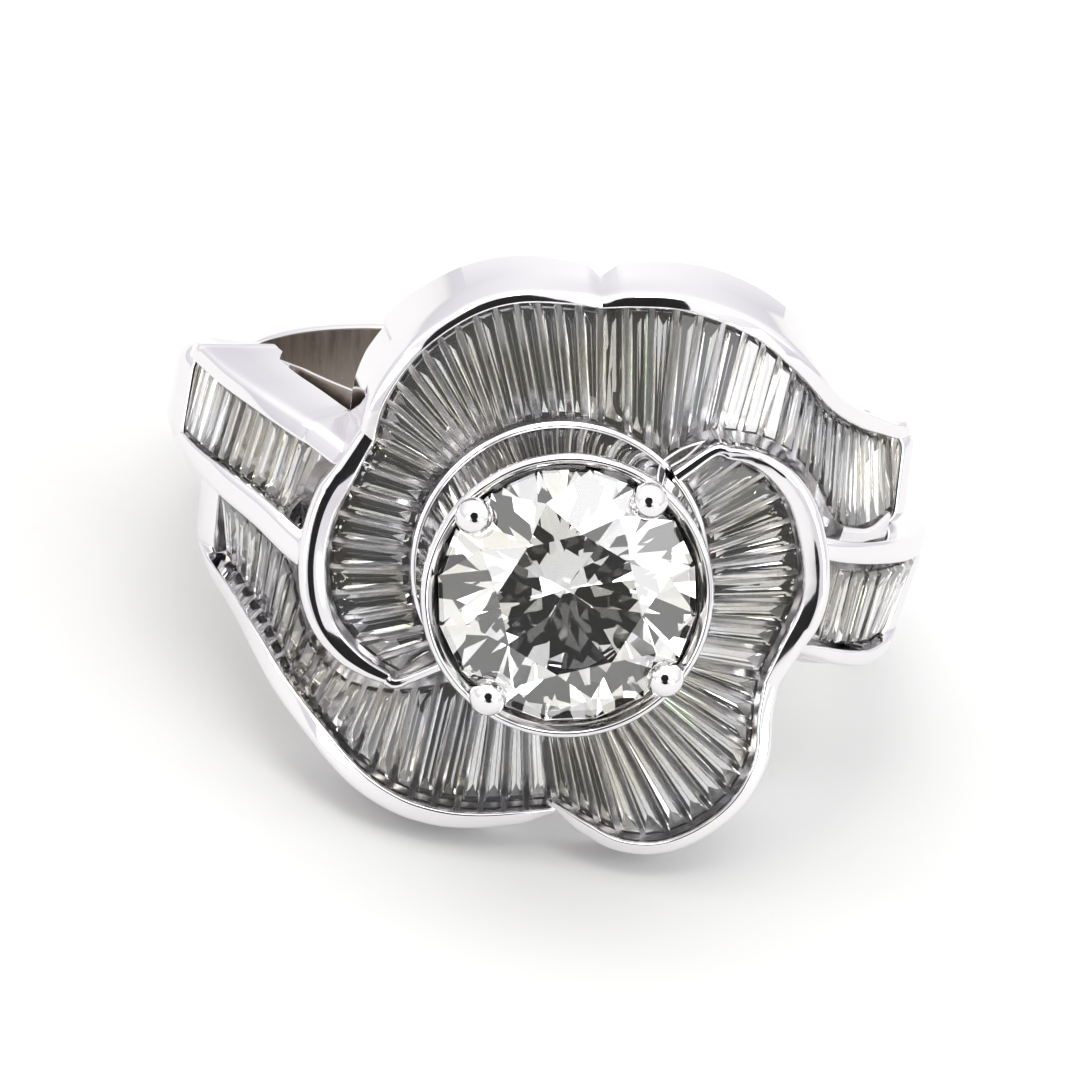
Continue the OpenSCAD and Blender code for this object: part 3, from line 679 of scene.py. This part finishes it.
def white_gold_material():
    """Rhodium-plated 18 ct white gold, machine polished: a bright mirror with a slight,
    slow waviness left by the polishing wheel."""
    colours = bpy.context.scene.ring_colours

    def waviness(tree, shader):
        place = add(tree, "ShaderNodeTexCoord").outputs["Object"]
        # a wave about every 1.2 mm
        noise = add(tree, "ShaderNodeTexNoise", {"Vector": place, "Scale": 850.0, "Detail": 1.0})
        bump = add(tree, "ShaderNodeBump",
                   {"Height": noise.outputs["Fac"], "Strength": 0.12, "Distance": 0.00002})
        tree.links.new(bump.outputs["Normal"], shader.inputs["Normal"])

    return new_material("white_gold_polished", {
        "Base Color": linear(colours.white_gold), "Metallic": 1.0, "Roughness": 0.06}, waviness)


def bore_material():
    """The same white gold inside the finger hole and the slits, left satin by a buff drawn along
    the finger and streaked across the band. Its colour is painted shade: a brown grey darker than
    the white gold, for the shade and dark reflections inside the hole."""
    colours = bpy.context.scene.ring_colours

    def streaks(tree, shader):
        place = add(tree, "ShaderNodeTexCoord").outputs["Object"]
        # streaks run along the finger, about 0.25 mm apart
        drawn = add(tree, "ShaderNodeMapping", {
            "Vector": place, "Rotation": (math.radians(19.45), 0, 0),
            "Scale": (4000.0, 4000.0, 300.0)})
        noise = add(tree, "ShaderNodeTexNoise",
                    {"Vector": drawn.outputs["Vector"], "Scale": 1.0, "Detail": 3.0})
        rough = add(tree, "ShaderNodeMapRange",
                    {"Value": noise.outputs["Fac"], "To Min": 0.2, "To Max": 0.45})
        tree.links.new(rough.outputs["Result"], shader.inputs["Roughness"])
        bump = add(tree, "ShaderNodeBump",
                   {"Height": noise.outputs["Fac"], "Strength": 0.5, "Distance": 0.00003})
        tree.links.new(bump.outputs["Normal"], shader.inputs["Normal"])

    # the base colour here is painted shade, not the metal's own colour
    return new_material("white_gold_satin", {
        "Base Color": linear(colours.bore), "Metallic": 1.0}, streaks)


def bed_material():
    """The beds under the stones, cast and bright dipped but never polished: a fine, even
    grain that spreads the light."""
    colours = bpy.context.scene.ring_colours

    def grain(tree, shader):
        place = add(tree, "ShaderNodeTexCoord").outputs["Object"]
        # grain of 0.05 mm
        noise = add(tree, "ShaderNodeTexNoise", {"Vector": place, "Scale": 20000.0})
        rough = add(tree, "ShaderNodeMapRange",
                    {"Value": noise.outputs["Fac"], "To Min": 0.15, "To Max": 0.3})
        tree.links.new(rough.outputs["Result"], shader.inputs["Roughness"])

    return new_material("white_gold_cast", {
        "Base Color": linear(colours.white_gold), "Metallic": 1.0}, grain)


def diamond_material(name, clear):
    """Cut and polished diamond: clear, with the strong bending that makes its facets
    flash white beside black. The refractive index is that of diamond. The share that isn't
    clear is scattered by the unpolished girdle, and the body colour drifts a little."""
    colours = bpy.context.scene.ring_colours

    def drift(tree, shader):
        place = add(tree, "ShaderNodeTexCoord").outputs["Object"]
        # patches about 1.5 mm across, so that neighbouring baguettes differ a little
        noise = add(tree, "ShaderNodeTexNoise", {"Vector": place, "Scale": 650.0, "Detail": 0.0})
        ramp = add(tree, "ShaderNodeMapRange",
                   {"Value": noise.outputs["Fac"], "From Min": 0.35, "From Max": 0.65})
        tone = add(tree, "ShaderNodeMix", {"Factor": ramp.outputs["Result"]}, data_type="RGBA")
        tone.inputs[6].default_value = linear(colours.diamond)
        tone.inputs[7].default_value = linear(colours.diamond_warm)
        tree.links.new(tone.outputs[2], shader.inputs["Base Color"])

    return new_material(name, {
        "Metallic": 0.0, "Roughness": 0.0, "IOR": 2.417, "Transmission Weight": clear}, drift)


# Operators, one for each piece or group of like pieces.
class RING_OT_metal(bpy.types.Operator):
    """Build the mount's walls: band, collar, rails, bars, beds and toes"""

    bl_idname = "ring.metal"
    bl_label = "Mount"

    def execute(self, context):
        sizes = millimetres(context.scene.ring_sizes)
        metal = Metal()
        add_band(metal)
        add_collar(metal, sizes)
        # a layer of its own for each wall's foot, so that no two coincide
        walls = len(RAILS) + len(BARS) + len(LEDGES) + len(FIELDS)
        layers = (FINGER_R + LAYER * (k + 1) for k in range(walls))
        for row in RAILS:
            add_rail(metal, row, sizes, next(layers))
        for path in BARS:
            add_bar(metal, path, next(layers))
        for path in LEDGES:
            add_bar(metal, path, next(layers), BED)
        for field in FIELDS:
            add_floor(metal, field, sizes, next(layers))
        for row in TOES:
            add_toe(metal, row)
        mesh = metal.mesh("mount_walls")
        mark_bore(mesh)
        finish_piece("mount_walls", mesh, [white_gold_material(), bore_material(),
                                           bed_material()])
        return {"FINISHED"}


def prong_tree(material):
    """Geometry nodes: a bead on a stem at each point, trimmed to the seat of the stone."""
    tree = bpy.data.node_groups.new("prongs", "GeometryNodeTree")
    face = tree.interface
    face.new_socket("Geometry", in_out="INPUT", socket_type="NodeSocketGeometry")
    sockets = {name: face.new_socket(name, in_out="INPUT", socket_type="NodeSocketFloat")
               for name in ("Bead Radius", "Stem Height")}
    seat = face.new_socket("Seat", in_out="INPUT", socket_type="NodeSocketObject")
    face.new_socket("Geometry", in_out="OUTPUT", socket_type="NodeSocketGeometry")
    given = add(tree, "NodeGroupInput").outputs
    bead = add(tree, "GeometryNodeMeshUVSphere",
               {"Segments": 40, "Rings": 20, "Radius": given["Bead Radius"]})
    stem = add(tree, "GeometryNodeMeshCone", {
        "Vertices": 32, "Radius Top": STEM_TOP_R, "Radius Bottom": STEM_FOOT_R,
        "Depth": given["Stem Height"]})
    sunk = add(tree, "GeometryNodeTransform",
               {"Geometry": stem.outputs["Mesh"], "Translation": (0, 0, -0.8)})
    one = add(tree, "GeometryNodeMeshBoolean", operation="UNION", solver="EXACT")
    tree.links.new(bead.outputs["Mesh"], one.inputs["Mesh 2"])
    tree.links.new(sunk.outputs["Geometry"], one.inputs["Mesh 2"])
    placed = add(tree, "GeometryNodeInstanceOnPoints",
                 {"Points": given["Geometry"], "Instance": one.outputs["Mesh"]})
    real = add(tree, "GeometryNodeRealizeInstances",
               {"Geometry": placed.outputs["Instances"]})
    cutter = add(tree, "GeometryNodeObjectInfo", {"Object": given["Seat"]})
    cut = add(tree, "GeometryNodeMeshBoolean", {"Mesh 1": real.outputs["Geometry"]},
              operation="DIFFERENCE", solver="EXACT")
    tree.links.new(cutter.outputs["Geometry"], cut.inputs["Mesh 2"])
    final = add(tree, "GeometryNodeRealizeInstances", {"Geometry": cut.outputs["Mesh"]})
    dressed = add(tree, "GeometryNodeSetMaterial",
                  {"Geometry": final.outputs["Geometry"], "Material": material})
    add(tree, "NodeGroupOutput", {"Geometry": dressed.outputs["Geometry"]})
    return tree, {name: s.identifier for name, s in sockets.items()}, seat.identifier


class RING_OT_prongs(bpy.types.Operator):
    """Set a beaded prong at each of its places round the collar"""

    bl_idname = "ring.prongs"
    bl_label = "Prongs"

    def execute(self, context):
        sizes = millimetres(context.scene.ring_sizes)
        r, bead_z = sizes.stone_r, sizes.lip_z + 0.15
        seat = Metal()
        top = 0.31 * r + 0.04
        line = [(0.01, -0.9 * r), (r + 0.03, -0.03), (r + 0.03, 0.03 * r + 0.02),
                (0.79 * r + 0.03, 0.202 * r + 0.03), (0.56 * r + 0.03, top), (0.01, top)]
        seat_z = sizes.lip_z - GIRDLE_DROP
        seat.skin([[(CENTRE[0] + x * math.cos(a), CENTRE[1] + x * math.sin(a), seat_z + z)
                    for x, z in line]
                   for a in np.linspace(0, 2 * math.pi, 96, endpoint=False)], looped=True)
        cutter = bpy.data.objects.new("seat_cutter", seat.mesh("seat_cutter"))
        points = bpy.data.meshes.new("prong_points")
        points.from_pydata([(CENTRE[0] + (r - 0.08) * math.cos(math.radians(a)),
                             CENTRE[1] + (r - 0.08) * math.sin(math.radians(a)), bead_z)
                            for a in PRONG_ANGLES], [], [])
        holder = bpy.data.objects.new("prong_holder", points)
        for thing in (cutter, holder):
            context.scene.collection.objects.link(thing)
        material = bpy.data.materials["white_gold_polished"]
        tree, names, seat_name = prong_tree(material)
        modifier = holder.modifiers.new("prongs", "NODES")
        modifier.node_group = tree
        modifier[names["Bead Radius"]] = sizes.bead_r
        modifier[names["Stem Height"]] = STEM_H
        modifier[seat_name] = cutter
        graph = context.evaluated_depsgraph_get()
        mesh = bpy.data.meshes.new_from_object(holder.evaluated_get(graph), depsgraph=graph)
        if not mesh.polygons:
            raise RuntimeError("the prongs came out empty")
        for thing in (holder, cutter):
            bpy.data.objects.remove(thing)
        mesh.name = "prong_beads"
        finish_piece("prong_beads", mesh, [material], crease=50.0)
        return {"FINISHED"}


class RING_OT_stones(bpy.types.Operator):
    """Give every stone its finish"""

    bl_idname = "ring.stones"
    bl_label = "Stones"

    def execute(self, context):
        round_cut = diamond_material("diamond_round_polished", 0.985)
        step_cut = diamond_material("diamond_step_polished", 0.95)
        for name, stone in frame["nodes"].items():
            if name != MOUNT:
                stone.data.materials.clear()
                stone.data.materials.append(round_cut if name == CENTRE_STONE else step_cut)
        return {"FINISHED"}


def softbox(name, place, size, level, colour):
    """Area light of an even brightness, whatever its size, facing the ring."""
    light = bpy.data.lights.new(name, "AREA")
    light.shape = "RECTANGLE"
    light.size, light.size_y = size
    light.energy = level * math.pi * size[0] * size[1]
    light.color = colour
    lamp = bpy.data.objects.new(name, light)
    lamp.location = place
    aim = Vector(STAGE_TARGET) - Vector(place)
    lamp.rotation_euler = aim.to_track_quat("-Z", "Y").to_euler()
    bpy.context.scene.collection.objects.link(lamp)


def card(name, place, size, material, sides=48):
    """Flat oval card on the stage, facing the ring."""
    turns = np.linspace(0, 2 * math.pi, sides, endpoint=False)
    mesh = bpy.data.meshes.new(name)
    mesh.from_pydata([(size[0] / 2 * math.cos(a), size[1] / 2 * math.sin(a), 0) for a in turns],
                     [], [list(range(sides))])
    mesh.materials.append(material)
    piece = bpy.data.objects.new(name, mesh)
    aim = Vector(STAGE_TARGET) - Vector(place)
    piece.matrix_world = (Matrix.Translation(Vector(place))
                          @ aim.to_track_quat("Z", "Y").to_matrix().to_4x4())
    bpy.context.scene.collection.objects.link(piece)


class RING_OT_stage(bpy.types.Operator):
    """Floor, soft light and the camera"""

    bl_idname = "ring.stage"
    bl_label = "Stage"

    def execute(self, context):
        scene, settings = context.scene, context.scene.ring_stage
        scene.view_settings.view_transform = "Standard"
        world = bpy.data.worlds.new("room")
        world.use_nodes = True
        tree = world.node_tree
        place = add(tree, "ShaderNodeTexCoord").outputs["Generated"]
        height = add(tree, "ShaderNodeSeparateXYZ", {"Vector": place}).outputs["Z"]
        rise = add(tree, "ShaderNodeMapRange", {"Value": height, "From Min": 0.0, "From Max": 0.6})
        tone = add(tree, "ShaderNodeMix", {"Factor": rise.outputs["Result"]}, data_type="RGBA")
        tone.inputs[6].default_value = linear(scene.ring_colours.horizon)
        tone.inputs[7].default_value = (1, 1, 1, 1)
        sky = tree.nodes["Background"]
        tree.links.new(tone.outputs[2], sky.inputs["Color"])
        sky.inputs["Strength"].default_value = settings.sky_level
        scene.world = world

        paint = new_material("table_paint", {
            "Base Color": linear(scene.ring_colours.floor), "Roughness": 0.9})
        mesh = bpy.data.meshes.new("floor")
        mesh.from_pydata([(x * FLOOR_HALF, y * FLOOR_HALF, 0)
                          for x, y in ((-1, -1), (1, -1), (1, 1), (-1, 1))], [], [(0, 1, 2, 3)])
        mesh.materials.append(paint)
        floor = bpy.data.objects.new("floor", mesh)
        scene.collection.objects.link(floor)

        for row in SOFTBOXES:
            softbox(*row)
        camera = self.camera(scene, settings)
        black = new_material("black_card", {"Base Color": linear("#0C0D0C"), "Roughness": 0.9})
        back = camera.matrix_world.col[2].to_3d().normalized()
        width = 2 * CARD_AWAY * math.tan(settings.card_spread)
        card("card_camera", Vector(STAGE_TARGET) + CARD_AWAY * back, (width, width), black)
        card("card_low", (0.0, -0.15, 0.03), (0.09, 0.06), black)
        return {"FINISHED"}

    def camera(self, scene, settings):
        """Camera at the photograph's angle."""
        az, el, roll = (settings.camera_azimuth, settings.camera_elevation,
                        settings.camera_roll)
        back = Vector((math.sin(az) * math.cos(el), math.sin(el), math.cos(az) * math.cos(el)))
        right = Vector((0, 1, 0)).cross(back).normalized()
        up = back.cross(right)
        right, up = (math.cos(roll) * right + math.sin(roll) * up,
                     -math.sin(roll) * right + math.cos(roll) * up)
        target = Vector(CAMERA_TARGET)
        turn = PLACE.to_3x3().normalized()
        basis = Matrix((turn @ right, turn @ up, turn @ back)).transposed().to_4x4()
        lens = bpy.data.cameras.new("camera")
        lens.lens = settings.camera_lens
        lens.sensor_width = 36.0
        lens.clip_start, lens.clip_end = 0.01, 10.0
        camera = bpy.data.objects.new("camera", lens)
        place = PLACE @ (target + back * settings.camera_distance / MM)
        camera.matrix_world = Matrix.Translation(place) @ basis
        scene.collection.objects.link(camera)
        scene.camera = camera
        return camera


class RING_PT_panel(bpy.types.Panel):
    """Lists the ring's operators and settings"""

    bl_label = "Marguerite ring"
    bl_space_type = "VIEW_3D"
    bl_region_type = "UI"
    bl_category = "Ring"

    def draw(self, context):
        column = self.layout.column()
        for step in STEPS:
            column.operator(step.bl_idname)
        for group in (context.scene.ring_sizes, context.scene.ring_colours,
                      context.scene.ring_stage):
            for key in group.__annotations__:
                column.prop(group, key)


STEPS = (RING_OT_metal, RING_OT_prongs, RING_OT_stones, RING_OT_stage)
CLASSES = (RingSizes, RingColours, StageSettings) + STEPS + (RING_PT_panel,)


def register():
    for entry in CLASSES:
        bpy.utils.register_class(entry)
    bpy.types.Scene.ring_sizes = PointerProperty(type=RingSizes)
    bpy.types.Scene.ring_colours = PointerProperty(type=RingColours)
    bpy.types.Scene.ring_stage = PointerProperty(type=StageSettings)


def unregister():
    del bpy.types.Scene.ring_stage
    del bpy.types.Scene.ring_colours
    del bpy.types.Scene.ring_sizes
    for entry in reversed(CLASSES):
        bpy.utils.unregister_class(entry)


def main():
    register()
    bpy.ops.ring.metal()
    bpy.ops.ring.prongs()
    bpy.ops.ring.stones()
    bpy.ops.ring.stage()


if __name__ == "__main__":
    main()
